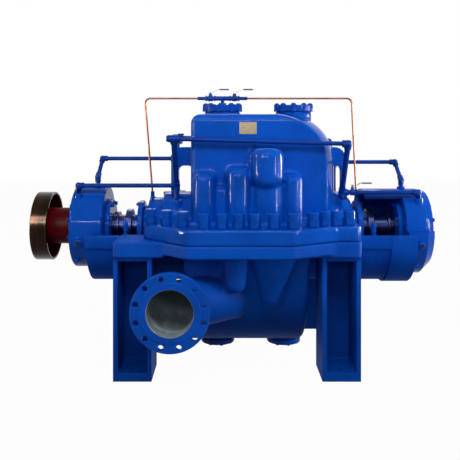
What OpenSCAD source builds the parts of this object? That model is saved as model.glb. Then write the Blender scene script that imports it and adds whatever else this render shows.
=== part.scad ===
// Horizontally split multistage pump on four fabricated pedestals, with its cooling and flush pipework.
// X runs along the shaft with the drive coupling at -X, the suction nozzle faces -Y and Z is up.
// The origin is on the floor, at the centre of the foundation bolts.
// Inside the modules Z is counted from the shaft centre, and stand() lifts a piece to its height.

/* [Setting out] */
// Height of the shaft centre above the floor
axis_h = 780; // [765:1:900]
// Radial gap between the shaft and the bores that it only passes through
shaft_gap = 6; // [5:0.5:10]
// Radial clearance of the journals in the bearing bores
journal_gap = 0.06; // [0.02:0.01:0.1]
// Gap left around a piece that is seated in a round seat
seat_gap = 0.3; // [0.1:0.1:0.5]

/* [Split flange] */
// Thickness of the upper half's flange
upper_flange_t = 84; // [60:1:110]
// Thickness of the lower half's flange
lower_flange_t = 72; // [50:1:86]
// Reach of the flange to the coupling end
flange_left = 535; // [515:1:550]
// Reach of the flange to the thrust end
flange_right = 700; // [695:1:708]
// Half width of the flange in the middle
flange_mid_w = 770; // [740:1:800]
// Half width of the flange at the coupling end
flange_left_w = 520; // [480:1:560]
// Half width of the flange at the thrust end
flange_right_w = 630; // [600:1:645]
// Start and end of the widest stretch, along the shaft
flange_mid_x = [-277, 304]; // [-350:1:400]
// Where the flange reaches its width at the thrust end
flange_neck_x = 557; // [520:1:600]
// Radius of the flange outline's corners
flange_corner_r = 60; // [20:1:80]

/* [Casing] */
// Radius of the lower half's barrel
barrel_r = 560; // [520:1:580]
// Depth of the barrel's centre below the shaft
barrel_drop = 145; // [130:1:148]
// Ends of the barrel, along the shaft
barrel_x = [-300, 410]; // [-340:1:420]
// Edge radius at the ends of the barrel and the drums
cast_edge_r = 30; // [10:1:40]
// Radius of the lower half's end drums
end_drum_r = 340; // [330:1:342]
// Radius of the upper half's end domes
dome_r = 221; // [212:1:240]
// Ends of the upper half's domes, along the shaft
dome_x = [-460, 712]; // [-480:1:730]
// Radius of the seal chambers
chamber_r = 182; // [170:1:200]
// Ends of the seal chambers, along the shaft
chamber_x = [-557, 735]; // [-570:1:745]
// Radius of the necks that carry the seal glands
neck_r = 130; // [115:1:150]
// Length of the necks that carry the seal glands
neck_len = 33; // [20:1:45]
// Edge radius at the ends of the domes
dome_edge_r = 10; // [5:1:25]

/* [Crown] */
// Height of the crown above the shaft
crown_top = 717; // [690:1:740]
// Half depth of the crown, front to back
crown_half_d = 330; // [310:1:350]
// Ends of the crown, along the shaft
crown_x = [-275, 630]; // [-290:1:640]
// Radius of the crown's shoulder at the coupling end
crown_left_r = 60; // [30:1:90]
// Radius of the crown's shoulder at the thrust end
crown_right_r = 300; // [240:1:330]
// Radius of the crown's front and back top edges
crown_edge_r = 45; // [30:1:48]
// Radius of the crown's upright edges
crown_side_r = 45; // [20:1:60]
// Radius that the thrust end bulges to, in plan
crown_bulge_r = 700; // [600:1:900]

/* [Passages] */
// Front passage a: place along the shaft, radius, height and reach from the shaft
passage_a = [-188, 66, 368, 560]; // [-250:1:700]
// Front passage b: place along the shaft, radius, height and reach from the shaft
passage_b = [12, 72, 399, 590]; // [-250:1:700]
// Front passage c: place along the shaft, radius, height and reach from the shaft
passage_c = [173, 93, 518, 640]; // [-250:1:700]
// Height of the rounded foot of front passage c above the shaft
passage_c_foot = 280; // [250:1:310]
// Belly under front passage c: place along the shaft, radius, height and reach from the shaft
passage_belly = [179, 98, 335, 600]; // [-250:1:700]
// Web between the two passages near the coupling: place, radius, height and reach
passage_web = [-91, 40, 288, 505]; // [-250:1:700]
// Front passage d: place along the shaft, radius, height and reach from the shaft
passage_d = [322, 53, 359, 570]; // [-250:1:700]
// Share of a passage's radius that rounds its top
passage_soft = 0.55; // [0.3:0.05:0.9]
// Lower bulge e: place along the shaft, radius at the flange and at its foot, depth and reach from the shaft
bulge_e = [-8, 82, 58, 285, 680]; // [-250:1:700]
// Lower bulge f: place along the shaft, radius at the flange and at its foot, depth and reach from the shaft
bulge_f = [203, 200, 80, 385, 690]; // [-250:1:700]
// Share of a lower bulge's radius that rounds its foot
bulge_soft = 0.8; // [0.4:0.05:0.9]

/* [Nozzles] */
// Distance of the nozzle faces past the flange's middle
nozzle_out = 62; // [61:1:90]
// Depth of the nozzles below the shaft
nozzle_drop = 340; // [330:1:360]
// Distance of the nozzles from the middle, along the shaft
nozzle_x = 355; // [340:1:360]
// Straight length of a nozzle from its face
nozzle_straight = 88; // [70:1:110]
// Distance of the turn behind a nozzle from its face
turn_at = 138; // [132:1:142]
// Angle of the turn behind a nozzle
turn = 50; // [45:1:55]
// Bore radius of the suction nozzle
suction_bore_r = 125; // [110:0.5:128]
// Outer radius of the suction nozzle's pipe
suction_pipe_r = 136.5; // [134:0.5:137]
// Flange radius of the suction nozzle
suction_flange_r = 212.5; // [205:0.5:225]
// Bolt circle radius of the suction nozzle
suction_pcd_r = 185; // [180:0.5:188]
// Flange thickness of the suction nozzle
suction_flange_t = 38; // [30:1:45]
// Bore radius of the discharge nozzle
discharge_bore_r = 100; // [90:0.5:105]
// Outer radius of the discharge nozzle's pipe
discharge_pipe_r = 118; // [112:0.5:125]
// Flange radius of the discharge nozzle
discharge_flange_r = 187.5; // [180:0.5:195]
// Bolt circle radius of the discharge nozzle
discharge_pcd_r = 160; // [150:0.5:163]
// Flange thickness of the discharge nozzle
discharge_flange_t = 36; // [30:1:45]
// Radius of the nozzles' bolt holes
nozzle_hole_r = 15; // [11:0.5:16]
// Number of bolt holes in a nozzle flange
nozzle_holes = 12; // [8:4:16]
// Height of the raised joint face on a nozzle
raised_face_t = 3; // [2:0.5:5]
// Distance from a bolt hole to the raised joint face
raised_edge = 8; // [4:1:12]
// How much wider the casing's passages are than the nozzles' bores
bore_step = 3; // [2:0.5:5]
// Length of the casing's branches behind the turns
branch_len = 480; // [460:1:500]
// Depth of the passages in the casing behind the turns
pocket_len = 300; // [200:1:340]

/* [Covers] */
// Places of the top covers, along the shaft
top_cover_x = [-86, 375]; // [-140:1:400]
// Radius of the top covers
top_cover_r = 122; // [110:1:135]
// Thickness of the top covers
top_cover_t = 40; // [30:1:50]
// Height of the pads under the top covers
top_pad_h = 23; // [15:1:35]
// Places of the bottom covers, along the shaft
bottom_cover_x = [-116, 310]; // [-180:1:330]
// Radius of the bottom covers
bottom_cover_r = 108; // [95:1:120]
// Thickness of the bottom covers
bottom_cover_t = 28; // [20:1:35]
// Height of the pads over the bottom covers
bottom_pad_h = 12; // [8:1:16]
// How far a cover stands past its pad, all round
cover_lip = 7; // [3:1:24]
// Bevel on the edges of the covers and flanges
edge_bevel = 3; // [1:0.5:5]

/* [Pedestals] */
// Nearest and furthest side of a pedestal, along the shaft
pedestal_x = [475, 690]; // [470:1:720]
// Back and front of a pedestal, from the shaft
pedestal_y = [345, 610]; // [343:1:640]
// Back and front of the casing's feet, from the shaft
foot_y = [365, 640]; // [360:1:660]
// Thickness of the casing's feet
foot_t = 88; // [80:1:110]
// Distance of the feet's roots from the middle, along the shaft
foot_in = 400; // [380:1:420]
// Radius of the feet's corners
foot_edge_r = 25; // [10:1:40]
// Thickness of the pedestal's standing plates
plate_t = 25; // [16:1:32]
// Thickness of the pedestal's base plate
base_t = 48; // [30:1:60]
// Thickness of the pedestal's top plate
head_t = 22; // [16:1:30]
// Radius of the foundation bolt holes
anchor_r = 14; // [10:0.5:17]
// Distances of the foundation bolts from the shaft
anchor_y = [420, 545]; // [400:1:580]

/* [Bearing brackets] */
// Outer radius of the bearing brackets
bracket_r = 340; // [335:1:342]
// Wall thickness of the bearing brackets
bracket_wall = 30; // [20:1:35]
// Depth of the brackets' rim below the shaft
bracket_cut = 15; // [10:1:25]
// Height of the rim along the brackets' top edge
rim_h = 77; // [50:1:78]
// How far the rim stands out of the bracket
rim_out = 10; // [5:1:12]
// Reach of the coupling end's bracket
left_bracket_x = 905; // [895:1:915]
// Reach of the thrust end's bracket
right_bracket_x = 1085; // [1080:1:1100]
// Thickness of the brackets' end walls
end_wall_t = 37; // [25:1:39]
// Length of the ring round the thrust end's bracket
ring_len = 155; // [100:1:200]
// How far the ring stands out of the thrust end's bracket
ring_out = 12; // [6:1:20]

/* [Bearing housings] */
// Ends of the coupling end's housing, measured towards the coupling
left_housing_x = [822, 1028]; // [815:1:1035]
// Radius of the coupling end's housing
left_housing_r = 260; // [250:1:268]
// Ends of the thrust end's housing
right_housing_x = [1046, 1215]; // [1042:1:1230]
// Radius of the thrust end's lower housing
right_housing_r = 300; // [285:1:304]
// Length of the hood that the thrust end's upper housing reaches over the seal with
hood_len = 236; // [200:1:240]
// Wall of the hood
hood_t = 14; // [8:1:20]
// Angle that the hood comes round to the front, from the top
hood_front = 35; // [20:1:50]
// Radius of the thrust end's upper housing
right_cap_r = 240; // [230:1:244]
// Length of the taper at the thrust end
taper_len = 55; // [30:1:70]
// How far the taper of the lower housing draws in
taper_in = 50; // [20:1:70]
// How far the taper of the upper housing draws in
cap_taper_in = 15; // [5:1:30]
// Edge radius of the housings
housing_edge_r = 16; // [6:1:24]
// Radius of the inner covers
inner_cover_r = 172; // [150:1:190]
// Thickness of the inner covers
inner_cover_t = 28; // [20:1:32]
// Radius of the outer covers
end_cover_r = 160; // [140:1:180]
// Thickness of the outer covers
end_cover_t = 20; // [15:1:22]
// Radius of the seal glands
gland_r = 162; // [150:1:175]
// Thickness of the seal glands
gland_t = 32; // [24:1:40]
// Radius of the pads for the oil sight glasses
sight_r = 30; // [22:1:34]
// How far the pads for the oil sight glasses stand out
sight_out = 10; // [6:1:20]
// Angle of the oil sight glasses below the split
sight_angle = 14; // [12:1:25]
// Places of the oil sight glasses, along the shaft
sight_x = [-966, 1118]; // [-980:1:1125]

/* [Rotor] */
// Radius of the shaft
shaft_r = 70; // [60:0.5:80]
// Radius and width of the throwing collars
collar = [108, 40]; // [20:1:115]
// Radius and width of the locking rings
ring = [92, 15]; // [10:1:110]
// Gap between a throwing collar and its gland
collar_off = 42; // [20:1:60]
// Gap between a locking ring and its inner cover
ring_off = 30; // [15:1:40]
// Ease of the hub on the shaft and of the rim on the hub
hub_fit = 0.03; // [0.02:0.01:0.05]
// Radius of the coupling hub
hub_r = 115; // [100:1:130]
// Gap between the coupling hub and the outer cover
hub_gap = 8; // [6:1:15]
// Reach of the coupling
coupling_x = 1277; // [1265:1:1290]
// Outer radius of the coupling rim
rim_r = 218; // [210:1:230]
// Thickness of the coupling rim
rim_t = 15; // [10:1:20]
// Width of the coupling rim
rim_w = 105; // [90:1:120]
// Thickness of the coupling's disc
disc_t = 40; // [25:1:50]
// Bolt circle radius of the coupling
coupling_pcd_r = 160; // [150:1:170]
// Radius of the coupling's bolt holes
coupling_hole_r = 13; // [10:0.5:16]
// Number of bolts in the coupling
coupling_holes = 8; // [6:2:12]

/* [Pipework] */
// Radius of the cooling pipes
pipe_r = 13.5; // [10.5:0.5:15]
// Radius of the risers
riser_r = 17; // [15:0.5:19]
// How far a pipe fitting stands out of its pipe
fitting_out = 5; // [3:0.5:6]
// Length of a pipe fitting's arms from its middle
fitting_arm = 34; // [28:1:40]
// Distance of the manifolds from the shaft
manifold_y = 372; // [365:1:390]
// Heights of the manifolds above the shaft, coupling end and thrust end
manifold_h = [568, 538]; // [520:1:580]
// Length of a manifold past its riser at the coupling end
manifold_stub = 29; // [24:1:60]
// Distance of the risers from the shaft
riser_y = 160; // [150:1:170]
// Places of the risers at the front, along the shaft
riser_x = [-372, 662]; // [-400:1:690]
// Places of the risers at the back, along the shaft
rear_riser_x = [-402, 662]; // [-420:1:690]
// Height of the pads under the risers
riser_pad_h = 185; // [180:1:190]
// Heights of the supply pipes above their ports, coupling end and thrust end
supply_rise = [54, 37]; // [35:1:70]
// Reaches of the supply pipes, coupling end and thrust end
supply_x = [-985, 1140]; // [-990:1:1145]
// Heights of the return pipes above their ports, coupling end and thrust end
return_rise = [154, 150]; // [130:1:170]
// Reaches of the return pipes, coupling end and thrust end
return_x = [-895, 1075]; // [-920:1:1090]
// Length of the nipple under a return pipe
nipple_len = 40; // [36:1:50]
// Radius of the pads that the pipes screw into
port_r = 27; // [24:1:32]
// Length of the plug at a manifold's end
plug_len = 14; // [8:1:20]
// Height of the port pads above the housing that carries them
port_h = 14; // [10:1:20]

/* [Flush line] */
// Height of the flush tee above its cover
tee_rise = 45; // [38:1:60]
// Radius of the flush tee
tee_r = 15; // [12:0.5:18]
// Half length of the flush tee
tee_arm = 45; // [35:1:55]
// Half length of a ball valve
valve_arm = 33; // [26:1:40]
// Radius of a ball valve's body
valve_r = 19; // [16:0.5:22]
// Height of a ball valve's bonnet above its bore
bonnet_h = 34; // [28:1:40]
// Radius of a valve stem
stem_r = 6; // [4:0.5:8]
// Wall of a valve's bonnet round its stem
bonnet_wall = 5; // [3:0.5:7]
// Depth of a valve stem in its bonnet
stem_deep = 14; // [8:1:18]
// Clearance of a valve stem in its bonnet
stem_gap = 0.06; // [0.02:0.01:0.1]
// Length, width and thickness of a valve lever
lever = [118, 18, 4]; // [3:1:150]
// Rise of a valve lever along its crank
lever_rise = 16; // [8:1:24]
// Radius of the copper flush tubes
tube_r = 6; // [4:0.5:8]
// Bend radius of the copper flush tubes
tube_bend_r = 32; // [24:1:45]
// Corners of the flush tubes, along the shaft
tube_corner_x = [-590, 753]; // [-620:1:780]
// Places where the flush tubes come down, along the shaft
tube_foot_x = [-540, 784]; // [-543:1:786]
// Radius of the pads under the flush tubes
tube_port_r = 15; // [14:0.5:16]
// Height of the pads under the flush tubes
tube_port_h = 14; // [8:1:20]
// Length of a flush tube's end fittings
ferrule_len = 50; // [40:1:60]

/* [Lifting lugs and plate] */
// Thickness of the lifting lugs
lug_t = 70; // [50:1:90]
// Height of the lifting lugs above the shaft
lug_top = 510; // [490:1:530]
// Reaches of the lifting lugs, coupling end and thrust end
lug_x = [-417, 708]; // [-430:1:710]
// Widths of the lifting lugs' legs
lug_leg = [50, 28]; // [20:1:60]
// Depth of a lifting lug's top bar
lug_bar = 120; // [90:1:140]
// Inner corner radius of a lifting lug
window_r = 34; // [20:1:40]
// Outer corner radius of a lifting lug
lug_r = 70; // [40:1:90]
// Width and height of the rating plate
plate_size = [103, 72]; // [60:1:120]
// Thickness of the rating plate
plate_thick = 2; // [1:0.5:4]
// Place of the rating plate, along the shaft and above it
plate_at = [70, 632]; // [0:1:660]

/* [Hidden] */
$fn = 64;
fine = 360;
far = 4000;
ease = 2;
arc_steps = 8;
blue = "#0c4aae";
red = "#5c0d12";
dark_steel = "#2a221c";
copper = "#9a5b45";
brass = "#b3a077";
grey = "#8d9092";

pedestal_h = axis_h - foot_t;
pedestal_w = pedestal_x[1] - pedestal_x[0];
pedestal_d = pedestal_y[1] - pedestal_y[0];
right_len = right_housing_x[1] - right_housing_x[0];
tube_foot_h = [chamber_r + tube_port_h, gland_r + tube_port_h];
left_ring_x = -left_housing_x[0] + inner_cover_t + ring_off;
right_ring_x = right_housing_x[0] - inner_cover_t - ring_off;
function port_z(r, y) = sqrt(r * r - y * y) + port_h;
supply_h = [
    port_z(left_housing_r, riser_y) + supply_rise[0],
    port_z(right_cap_r, riser_y) + supply_rise[1]
];
return_h = [port_z(left_housing_r, 0) + return_rise[0], port_z(right_cap_r, 0) + return_rise[1]];
nozzle_face = flange_mid_w + nozzle_out;
inner_reach = crown_half_d - cast_edge_r;
shoulder_z = crown_top + ease - crown_right_r;
barrel_low = -barrel_drop - barrel_r;
top_pad_z = crown_top + top_pad_h;
tee_h = top_pad_z + top_cover_t + tee_rise;
lug_window_h = lug_top - lug_bar;
left_hub_end = -left_housing_x[1] - end_cover_t - hub_gap;
gland_x = [chamber_x[0] - neck_len - gland_t, chamber_x[1] + neck_len];
shaft_x = [-coupling_x + 5, right_housing_x[1] - taper_len - 10];
fitting_r = pipe_r + fitting_out;
riser_fitting_r = riser_r + fitting_out;
valve_x = [top_cover_x[0] - tee_arm - valve_arm, top_cover_x[0] + tee_arm + valve_arm];
cooling_valve_x = riser_x[1] + fitting_arm + valve_arm;
lever_base = bonnet_h + 6;

flange_points = [
    [-flange_left, -flange_left_w], [flange_mid_x[0], -flange_mid_w], [flange_mid_x[1], -flange_mid_w],
    [flange_neck_x, -flange_right_w], [flange_right, -flange_right_w],
    [flange_right, flange_right_w], [flange_neck_x, flange_right_w],
    [flange_mid_x[1], flange_mid_w], [flange_mid_x[0], flange_mid_w], [-flange_left, flange_left_w]
];

// Lifts a piece from the shaft centre to its height over the floor
module stand() translate([0, 0, axis_h]) children();

// Repeats a piece at the front and at the back
module both_sides() {
    children();
    mirror([0, 1, 0]) children();
}

// Everything over the split
module above() translate([-far, -far, 0]) cube([2 * far, 2 * far, far]);

// Everything under a height
module below(z = 0) translate([-far, -far, z - far]) cube([2 * far, 2 * far, far]);

// Round bar on the shaft centre
module bar_x(x0, x1, r) translate([x0, 0, 0]) rotate([0, 90, 0]) cylinder(h = x1 - x0, r = r);

// Disc with bevelled edges
module disc(h, r, b) rotate_extrude() polygon([[0, 0], [r - b, 0], [r, b], [r, h - b], [r - b, h], [0, h]]);

// Bevelled disc on the shaft centre
module disc_x(x0, x1, r, b) translate([x0, 0, 0]) rotate([0, 90, 0]) disc(x1 - x0, r, b);

// Half section of a bar with rounded ends
module soft_half(r, h, edge) {
    square([r - edge, h]);
    translate([0, edge]) square([r, h - 2 * edge]);
    translate([r - edge, edge]) circle(edge);
    translate([r - edge, h - edge]) circle(edge);
}

// Round bar on the shaft centre with rounded ends
module soft_bar_x(x0, x1, r, edge)
    translate([x0, 0, 0]) rotate([0, 90, 0]) rotate_extrude() soft_half(r, x1 - x0, edge);

// Rectangle with rounded corners
module soft_rect(x0, x1, y0, y1, r) {
    translate([x0 + r, y0]) square([x1 - x0 - 2 * r, y1 - y0]);
    translate([x0, y0 + r]) square([x1 - x0, y1 - y0 - 2 * r]);
    for (x = [x0 + r, x1 - r], y = [y0 + r, y1 - r]) translate([x, y]) circle(r);
}

// Upright face with its two top corners rounded
module arch_face(x0, x1, z0, z1, r0, r1) {
    translate([x0 + r0, z0]) square([x1 - x0 - r0 - r1, z1 - z0]);
    if (r0 > 0) {
        translate([x0, z0]) square([r0, z1 - z0 - r0]);
        translate([x0 + r0, z1 - r0]) circle(r0);
    }
    if (r1 > 0) {
        translate([x1 - r1, z0]) square([r1, z1 - z0 - r1]);
        translate([x1 - r1, z1 - r1]) circle(r1);
    }
}

// Stands a face upright along the shaft and gives it a thickness
module upright(t) rotate([90, 0, 0]) linear_extrude(height = t, center = true) children();

// Rounded corner of an outline, between the points before and after it
function unit(v) = v / norm(v);
function corner(a, p, b, r) =
    let (u = unit(a - p), v = unit(b - p), half = acos(u * v) / 2)
    let (m = p + unit(u + v) * r / sin(half))
    let (s = p + u * r / tan(half) - m, e = p + v * r / tan(half) - m)
    let (a0 = atan2(s[1], s[0]), d = atan2(e[1], e[0]) - a0)
    let (turn = d > 180 ? d - 360 : d < -180 ? d + 360 : d)
    [for (i = [0 : arc_steps]) m + r * [cos(a0 + turn * i / arc_steps), sin(a0 + turn * i / arc_steps)]];
function rounded(pts, r) =
    let (n = len(pts))
    [for (i = [0 : n - 1]) each corner(pts[(i + n - 1) % n], pts[i], pts[(i + 1) % n], r)];

// Outline of the split flange
module flange_plan() polygon(rounded(flange_points, flange_corner_r));

// Round at the crown's thrust end, with its shoulder rounded all the way and a gap left round it
module crown_end(gap) translate([crown_x[1] - crown_bulge_r - ease, 0, 0]) rotate_extrude($fn = fine) {
    square([crown_bulge_r + gap, shoulder_z]);
    square([crown_bulge_r - crown_right_r, shoulder_z + crown_right_r + gap]);
    translate([crown_bulge_r - crown_right_r, shoulder_z]) intersection() {
        circle(crown_right_r + gap);
        square(crown_right_r + gap);
    }
}

// Tall box of the upper half, over the crossover passages
module crown() intersection() {
    upright(2 * crown_half_d) arch_face(crown_x[0], crown_x[1], 0, crown_top, crown_left_r, 0);
    translate([crown_x[0], 0, 0]) rotate([90, 0, 90]) linear_extrude(height = crown_x[1] - crown_x[0])
        arch_face(-crown_half_d, crown_half_d, 0, crown_top + ease, crown_edge_r, crown_edge_r);
    linear_extrude(height = crown_top)
        soft_rect(crown_x[0] - ease, crown_x[1], -crown_half_d - ease, crown_half_d + ease, crown_side_r);
    crown_end(0);
}

// Half section of a passage, with its top and its foot rounded
module passage_half(r, foot, top, foot_r, top_r) intersection() {
    union() {
        translate([0, foot + foot_r]) square([r, top - foot - foot_r - top_r]);
        translate([0, foot]) square([r - foot_r, top - foot - top_r]);
        translate([0, foot + foot_r]) square([r - top_r, top - foot - foot_r]);
        if (foot_r > 0) translate([r - foot_r, foot + foot_r]) circle(foot_r);
        translate([r - top_r, top - top_r]) circle(top_r);
    }
    translate([0, foot]) square([r, top - foot]);
}

// Half section of a lower bulge, which narrows to a rounded foot
module bulge_half(r, foot_r, depth, soft) intersection() {
    union() {
        polygon([[0, 0], [r, 0], [foot_r, soft - depth], [0, soft - depth]]);
        translate([0, -depth]) square([foot_r - soft, depth]);
        translate([foot_r - soft, soft - depth]) circle(soft);
    }
    translate([0, -depth]) square([r, depth]);
}

// Rounded front on a half section, run back into the casing's side
module leaning(x, y) translate([x, -y, 0]) {
    rotate([0, 0, 180]) rotate_extrude(angle = 180) children();
    rotate([90, 0, 180]) linear_extrude(height = y - inner_reach) {
        children();
        mirror([1, 0]) children();
    }
}

// Passage that leans on the crown's side, from the flange or from a foot of its own
module passage(p, foot, foot_r) leaning(p[0], p[3] - p[1])
    passage_half(p[1], foot, p[2], foot_r, passage_soft * p[1]);

// Bulge that leans on the barrel's side, under the flange
module bulge(p) leaning(p[0], p[4] - p[1]) bulge_half(p[1], p[2], p[3], bulge_soft * p[2]);

// Seal chambers and necks at both ends, as full rounds
module seal_ends() {
    bar_x(chamber_x[0], chamber_x[1], chamber_r);
    bar_x(chamber_x[0] - neck_len, chamber_x[1] + neck_len, neck_r);
}

// Way of the shaft through a piece
module shaft_way(gap) bar_x(-far, far, shaft_r + gap);

// Upper half of the casing
module upper_casing() color(blue) difference() {
    union() {
        linear_extrude(height = upper_flange_t) flange_plan();
        crown();
        both_sides() {
            passage(passage_a, 0, 0);
            passage(passage_b, 0, 0);
            passage(passage_c, passage_c_foot, 0.9 * passage_c[1]);
            passage(passage_belly, 0, 0);
            passage(passage_web, 0, 0);
            passage(passage_d, 0, 0);
        }
        intersection() {
            union() {
                soft_bar_x(dome_x[0], dome_x[1], dome_r, dome_edge_r);
                seal_ends();
            }
            above();
        }
        for (x = top_cover_x) translate([x, 0, crown_top - crown_right_r])
            cylinder(h = top_pad_h + crown_right_r, r = top_cover_r - cover_lip);
        for (x = riser_x) translate([x, -riser_y, 0]) cylinder(h = riser_pad_h, r = port_r);
        for (x = rear_riser_x) translate([x, riser_y, 0]) cylinder(h = riser_pad_h, r = port_r);
        translate([tube_foot_x[0], 0, upper_flange_t]) cylinder(h = tube_foot_h[0] - upper_flange_t, r = tube_port_r);
    }
    shaft_way(shaft_gap);
}

// Foot of the casing, at the thrust end's back
module foot() translate([0, 0, -foot_t]) linear_extrude(height = foot_t)
    soft_rect(foot_in, pedestal_x[1], foot_y[0], foot_y[1], foot_edge_r);

// Pipe of a nozzle inside the casing, with the turn past the pedestal beside it
module branch(r, len) translate([-nozzle_x, turn_at - nozzle_face, -nozzle_drop]) intersection() {
    union() {
        intersection() {
            translate([0, 2 * r, 0]) rotate([90, 0, 0]) cylinder(h = turn_at + 2 * r, r = r);
            rotate([0, 0, -turn / 2]) translate([-far / 2, ease - far, -far / 2]) cube(far);
        }
        intersection() {
            rotate([0, 0, -turn]) translate([0, -2 * r, 0]) rotate([-90, 0, 0]) cylinder(h = len + 2 * r, r = r);
            rotate([0, 0, -turn / 2]) translate([-far / 2, -ease, -far / 2]) cube(far);
        }
    }
    translate([-far / 2, nozzle_straight - turn_at, -far / 2]) cube(far);
}

// Lower half of the casing, with the feet
module lower_casing() color(blue) difference() {
    union() {
        translate([0, 0, -lower_flange_t]) linear_extrude(height = lower_flange_t) flange_plan();
        both_sides() {
            foot();
            mirror([1, 0, 0]) foot();
        }
        intersection() {
            union() {
                bar_x(-flange_left, flange_right, end_drum_r);
                seal_ends();
                translate([0, 0, -barrel_drop]) soft_bar_x(barrel_x[0], barrel_x[1], barrel_r, cast_edge_r);
            }
            below();
        }
        translate([barrel_x[0], -barrel_r, -barrel_drop])
            cube([barrel_x[1] - barrel_x[0], 2 * barrel_r, barrel_drop]);
        both_sides() {
            bulge(bulge_e);
            bulge(bulge_f);
        }
        branch(suction_pipe_r, branch_len);
        rotate([0, 0, 180]) branch(discharge_pipe_r, branch_len);
        for (x = bottom_cover_x) translate([x, 0, barrel_low - bottom_pad_h])
            cylinder(h = bottom_pad_h + 3 * cast_edge_r, r = bottom_cover_r - edge_bevel);
    }
    shaft_way(shaft_gap);
    branch(suction_bore_r + bore_step, pocket_len);
    rotate([0, 0, 180]) branch(discharge_bore_r + bore_step, pocket_len);
}

// Flanged nozzle with a raised joint face
module nozzle(bore_r, tube_r, flange_r, flange_t, pcd_r)
    translate([-nozzle_x, -nozzle_face, -nozzle_drop]) rotate([-90, 0, 0]) difference() {
        union() {
            cylinder(h = flange_t, r = pcd_r - nozzle_hole_r - raised_edge);
            translate([0, 0, raised_face_t]) disc(flange_t - raised_face_t, flange_r, edge_bevel);
            cylinder(h = nozzle_straight, r = tube_r);
        }
        translate([0, 0, -1]) cylinder(h = nozzle_straight + 2, r = bore_r);
        for (i = [0 : nozzle_holes - 1]) rotate([0, 0, (i + 0.5) * 360 / nozzle_holes])
            translate([pcd_r, 0, -1]) cylinder(h = flange_t + 2, r = nozzle_hole_r);
    }

// Suction nozzle at the front, near the coupling
module suction_nozzle() color(blue)
    nozzle(suction_bore_r, suction_pipe_r, suction_flange_r, suction_flange_t, suction_pcd_r);

// Discharge nozzle at the back, near the thrust end
module discharge_nozzle() color(blue) rotate([0, 0, 180])
    nozzle(discharge_bore_r, discharge_pipe_r, discharge_flange_r, discharge_flange_t, discharge_pcd_r);

// Blind covers on top of the crown
module top_cover(i) color(blue) translate([top_cover_x[i], 0, top_pad_z]) disc(top_cover_t, top_cover_r, edge_bevel);
module left_top_cover() top_cover(0);
module right_top_cover() top_cover(1);

// Blind covers under the barrel
module bottom_cover(i) color(blue) translate([bottom_cover_x[i], 0, barrel_low - bottom_pad_h - bottom_cover_t])
    disc(bottom_cover_t, bottom_cover_r, edge_bevel);
module left_bottom_cover() bottom_cover(0);
module right_bottom_cover() bottom_cover(1);

// Lifting lug at the coupling end, from the crown over to the dome
module left_lifting_lug() color(blue) difference() {
    upright(lug_t) difference() {
        arch_face(lug_x[0], crown_x[0], 0, lug_top, lug_r, 0);
        arch_face(lug_x[0] + lug_leg[0], crown_x[0] + 1, -1, lug_window_h, window_r, window_r);
    }
    bar_x(-far, far, dome_r + seat_gap);
}

// Lifting lug at the thrust end, from the crown over to the dome
module right_lifting_lug() color(blue) difference() {
    upright(lug_t) difference() {
        arch_face(crown_x[1] - lug_t, lug_x[1], 0, lug_top, 0, lug_r);
        arch_face(crown_x[1] - lug_t - 1, lug_x[1] - lug_leg[1], -1, lug_window_h, 0, window_r);
    }
    bar_x(-far, far, dome_r + seat_gap);
    crown_end(seat_gap);
}

// Bare rating plate on the front of the crown
module rating_plate() color(brass)
    translate([plate_at[0] - plate_size[0] / 2, -crown_half_d - plate_thick, plate_at[1] - plate_size[1] / 2])
        cube([plate_size[0], plate_thick, plate_size[1]]);

// Pedestal welded up from plate, at the thrust end's back, open outwards
module pedestal() color(blue) difference() {
    union() {
        translate([pedestal_x[0], pedestal_y[0], -axis_h]) cube([pedestal_w, pedestal_d, base_t]);
        translate([pedestal_x[0], pedestal_y[0], -axis_h]) cube([plate_t, pedestal_d, pedestal_h]);
        translate([pedestal_x[1] - plate_t, pedestal_y[0], -axis_h]) cube([plate_t, pedestal_d, pedestal_h]);
        translate([pedestal_x[0], pedestal_y[0], -axis_h]) cube([pedestal_w, plate_t, pedestal_h]);
        translate([pedestal_x[0], pedestal_y[0], -foot_t - head_t]) cube([pedestal_w, pedestal_d, head_t]);
    }
    for (y = anchor_y) translate([pedestal_x[0] + pedestal_w / 2, y, -axis_h - 1])
        cylinder(h = base_t + 2, r = anchor_r);
}
module rear_right_pedestal() pedestal();
module rear_left_pedestal() mirror([1, 0, 0]) pedestal();
module front_right_pedestal() mirror([0, 1, 0]) pedestal();
module front_left_pedestal() mirror([0, 1, 0]) mirror([1, 0, 0]) pedestal();

// Outside of a bearing bracket, with the rim along its top edge
module bracket_body(x0, x1) {
    bar_x(x0, x1, bracket_r);
    intersection() {
        bar_x(x0, x1, bracket_r + rim_out);
        translate([-far, -far, -bracket_cut - rim_h]) cube([2 * far, 2 * far, rim_h + 1]);
    }
}

// Open bearing bracket at the coupling end
module left_bearing_bracket() color(blue) difference() {
    intersection() {
        bracket_body(-left_bracket_x, -flange_left);
        below(-bracket_cut);
    }
    bar_x(-left_bracket_x + end_wall_t, far, bracket_r - bracket_wall);
    bar_x(-far, 0, left_housing_r + seat_gap);
}

// Open bearing bracket at the thrust end, with a ring round its outer end
module right_bearing_bracket() color(blue) difference() {
    intersection() {
        union() {
            bracket_body(flange_right, right_bracket_x);
            bar_x(right_bracket_x - ring_len, right_bracket_x, bracket_r + ring_out);
        }
        below(-bracket_cut);
    }
    bar_x(-far, right_bracket_x - end_wall_t, bracket_r - bracket_wall);
    bar_x(-far, far, right_housing_r + seat_gap);
}

// Pad for an oil sight glass
module sight_pad(x, r) translate([x, 0, 0]) rotate([90 + sight_angle, 0, 0])
    translate([0, 0, r - sight_r]) cylinder(h = sight_r + sight_out, r = sight_r);

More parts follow.
